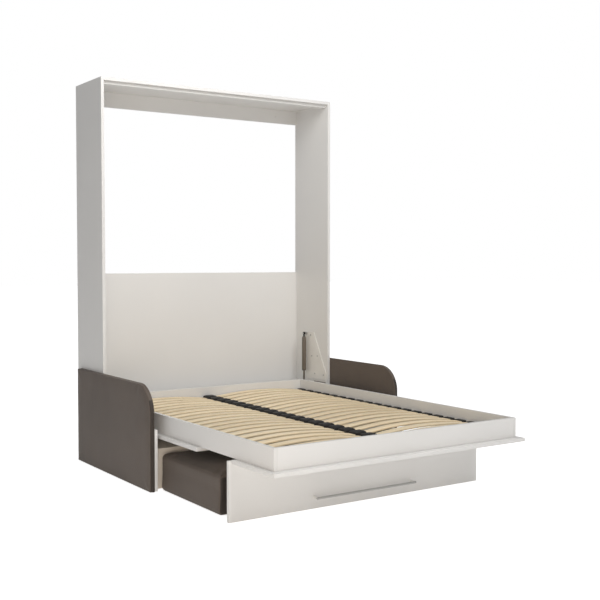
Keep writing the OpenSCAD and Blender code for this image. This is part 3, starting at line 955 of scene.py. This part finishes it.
class WALLBED_OT_struts(bpy.types.Operator):
    """The gas struts: an enamelled tube with rounded shoulders, and a thin dark rod that slides in it"""

    bl_idname = "wall_bed.struts"
    bl_label = "Gas Struts"

    def execute(self, context):
        for side in SIDES:
            self.tube(side)
            self.rod(side)
        return {"FINISHED"}

    def eye(self, bm, x, y, z):
        add_bar(bm, "X", (x, y, z), STRUT_EYE_RADIUS, STRUT_EYE_WIDTH, 0.0012, 32)

    def tube(self, side):
        low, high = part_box("strut_tube_" + side)
        x, y = (low.x + high.x) / 2, (low.y + high.y) / 2
        outer, top = (high.y - low.y) / 2, high.z - STRUT_EYE_RADIUS - 0.021
        bm = bmesh.new()
        outline = (
            (0.0054, low.z),
            (outer - 0.005, low.z),
            (outer - 0.0015, low.z + 0.0015),
            (outer - 0.0006, low.z + 0.005),
            (outer, low.z + 0.007),
            (outer, top - 0.012),
            (outer - 0.0015, top - 0.006),
            (outer - 0.005, top - 0.001),
            (0.0072, top),
            (0.0066, top + 0.003),
            (0.0050, top + 0.005),
            (0.0050, top + 0.016),
        )
        verts = [bm.verts.new((x + r, y, z)) for r, z in outline]
        edges = [bm.edges.new(pair) for pair in zip(verts, verts[1:])]
        bmesh.ops.spin(
            bm, geom=verts + edges, cent=(x, y, 0), axis=(0, 0, 1), dvec=(0, 0, 0), angle=2 * math.pi,
            steps=40, use_merge=True, use_duplicate=False,
        )
        bmesh.ops.remove_doubles(bm, verts=bm.verts, dist=WELD_DISTANCE)
        bmesh.ops.holes_fill(bm, edges=[e for e in bm.edges if e.is_boundary], sides=0)
        bmesh.ops.recalc_face_normals(bm, faces=bm.faces)
        self.eye(bm, x, y, high.z - STRUT_EYE_RADIUS)
        for f in bm.faces:
            if not low.z + 0.004 <= f.calc_center_median().z <= top + 0.0005:
                f.material_index = 1
        piece(
            "strut_tube_body_" + side, bm, "tube_" + side, ("dark_enamel", "black_rubber"),
            ("strut_tube_" + side,), smooth=35,
        )

    def rod(self, side):
        low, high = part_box("strut_rod_" + side)
        x, y = (low.x + high.x) / 2, (low.y + high.y) / 2
        radius, bottom, top = 0.005, low.z + 2 * STRUT_EYE_RADIUS - 0.002, high.z - 0.012
        bm = bmesh.new()
        add_bar(bm, "Z", (x, y, (bottom + top) / 2), radius, top - bottom, 0.0004, 32)
        rod_faces = set(bm.faces)
        self.eye(bm, x, y, low.z + STRUT_EYE_RADIUS)
        add_bar(bm, "Z", (x, y, bottom + 0.006), 0.0068, 0.012, 0.0008, 6)
        for f in set(bm.faces) - rod_faces:
            f.material_index = 1
        piece(
            "strut_rod_body_" + side, bm, "rod_" + side, ("strut_rod_steel", "zinc_plate"),
            ("strut_rod_" + side,), smooth=35,
        )


class WALLBED_OT_handle(bpy.types.Operator):
    """The brushed bar handle on its two posts"""

    bl_idname = "wall_bed.handle"
    bl_label = "Bar Handle"

    def execute(self, context):
        low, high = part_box("handle_bar")
        centre = (low + high) / 2
        bm = bmesh.new()
        add_bar(bm, "X", centre, (high.z - low.z) / 2, high.x - low.x, 0.0010, 40)
        piece("handle_bar_body", bm, "leg", ("brushed_handle",), ("handle_bar",), smooth=40)
        bm = bmesh.new()
        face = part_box("leg_panel")[0].y
        for p_low, p_high in solids_in("handle_posts"):
            x, z, r = (p_low.x + p_high.x) / 2, (p_low.z + p_high.z) / 2, (p_high.x - p_low.x) / 2
            add_bar(bm, "Y", (x, (face + centre.y) / 2, z), r, face - centre.y, None, 24)
            add_bar(bm, "Y", (x, face - 0.0015, z), r + 0.003, 0.003, 0.0008, 24)
        piece("handle_post_bodies", bm, "leg", ("bright_post",), ("handle_posts",), smooth=40)
        return {"FINISHED"}


# ---------------------------------------------------------------- stage


class WALLBED_OT_stage(bpy.types.Operator):
    """A plain pale floor, soft lights and the camera"""

    bl_idname = "wall_bed.stage"
    bl_label = "Stage"

    def execute(self, context):
        scene = context.scene
        scene.view_settings.view_transform = "Standard"
        scene.view_settings.look = "None"
        self.floor()
        self.world(scene)
        for lamp in LAMPS:
            self.light(*lamp)
        camera = bpy.data.objects.new("camera", bpy.data.cameras.new("camera"))
        camera.data.sensor_width, camera.data.lens = CAMERA_SENSOR, CAMERA_LENS
        camera.data.dof.use_dof = False
        camera.location = CAMERA_PLACE
        camera.rotation_euler = (math.radians(90 - CAMERA_DOWN), 0.0, math.radians(CAMERA_TURN))
        scene.collection.objects.link(camera)
        scene.camera = camera
        return {"FINISHED"}

    def floor(self):
        bm = bmesh.new()
        bmesh.ops.create_grid(bm, x_segments=1, y_segments=1, size=40.0)
        plane = loose_object("floor", bm)
        f = Finish("pale_floor", Specular_IOR_Level=0.0, Emission_Color=(1.0, 1.0, 1.0, 1.0))
        seen = Amount(f, f.node("ShaderNodeLightPath").outputs["Is Camera Ray"])
        f.set(f.shader.inputs["Emission Strength"], 0.22 + seen * 0.58)
        drift = f.clouds(0.6, 2.0)
        plane.data.materials.append(f.done(f.tone((0.93, 0.93, 0.93), 0.99 + drift * 0.02), 0.9))

    def world(self, scene):
        world = bpy.data.worlds.new("soft_room")
        world.use_nodes = True
        nodes, links = world.node_tree.nodes, world.node_tree.links
        soft, backdrop = nodes["Background"], nodes.new("ShaderNodeBackground")
        soft.inputs["Strength"].default_value = 0.32
        for one in (soft, backdrop):
            one.inputs["Color"].default_value = (1.0, 1.0, 1.0, 1.0)
        seen, choose = nodes.new("ShaderNodeLightPath"), nodes.new("ShaderNodeMixShader")
        links.new(seen.outputs["Is Camera Ray"], choose.inputs[0])
        links.new(soft.outputs[0], choose.inputs[1])
        links.new(backdrop.outputs[0], choose.inputs[2])
        links.new(choose.outputs[0], nodes["World Output"].inputs["Surface"])
        scene.world = world

    def light(self, name, where, at, size, power, colour):
        lamp = bpy.data.lights.new(name, "AREA")
        lamp.shape, lamp.size, lamp.energy, lamp.color = "SQUARE", size, power, colour
        made = bpy.data.objects.new(name, lamp)
        made.location = where
        made.rotation_euler = (Vector(at) - Vector(where)).to_track_quat("-Z", "Y").to_euler()
        bpy.context.scene.collection.objects.link(made)


# ---------------------------------------------------------------- panel and registration

PIECES = (
    WALLBED_OT_stage,
    WALLBED_OT_white_boards,
    WALLBED_OT_deck_boards,
    WALLBED_OT_screw_caps,
    WALLBED_OT_slats,
    WALLBED_OT_slat_holders,
    WALLBED_OT_bearers,
    WALLBED_OT_arms,
    WALLBED_OT_seat_cushion,
    WALLBED_OT_side_plates,
    WALLBED_OT_pins,
    WALLBED_OT_struts,
    WALLBED_OT_handle,
)


class WALLBED_PT_panel(bpy.types.Panel):
    """Lists the wall bed's sizes, colours and pieces"""

    bl_idname = "WALLBED_PT_panel"
    bl_label = "Wall Bed"
    bl_space_type = "VIEW_3D"
    bl_region_type = "UI"
    bl_category = "Wall Bed"

    def draw(self, context):
        for title, group in (("Sizes", sizes()), ("Colours", colours())):
            box = self.layout.box()
            box.label(text=title)
            for name in group.__annotations__:
                box.prop(group, name)
        box = self.layout.box()
        box.label(text="Pieces")
        for one in PIECES:
            box.operator(one.bl_idname)


CLASSES = (WallBedSizes, WallBedColours, *PIECES, WALLBED_PT_panel)


def register():
    for one in CLASSES:
        bpy.utils.register_class(one)
    bpy.types.Scene.wall_bed_sizes = PointerProperty(type=WallBedSizes)
    bpy.types.Scene.wall_bed_colours = PointerProperty(type=WallBedColours)


def unregister():
    del bpy.types.Scene.wall_bed_colours
    del bpy.types.Scene.wall_bed_sizes
    for one in reversed(CLASSES):
        bpy.utils.unregister_class(one)


def main():
    register()
    for one in PIECES:
        group, name = one.bl_idname.split(".")
        getattr(getattr(bpy.ops, group), name)()


if __name__ == "__main__":
    main()
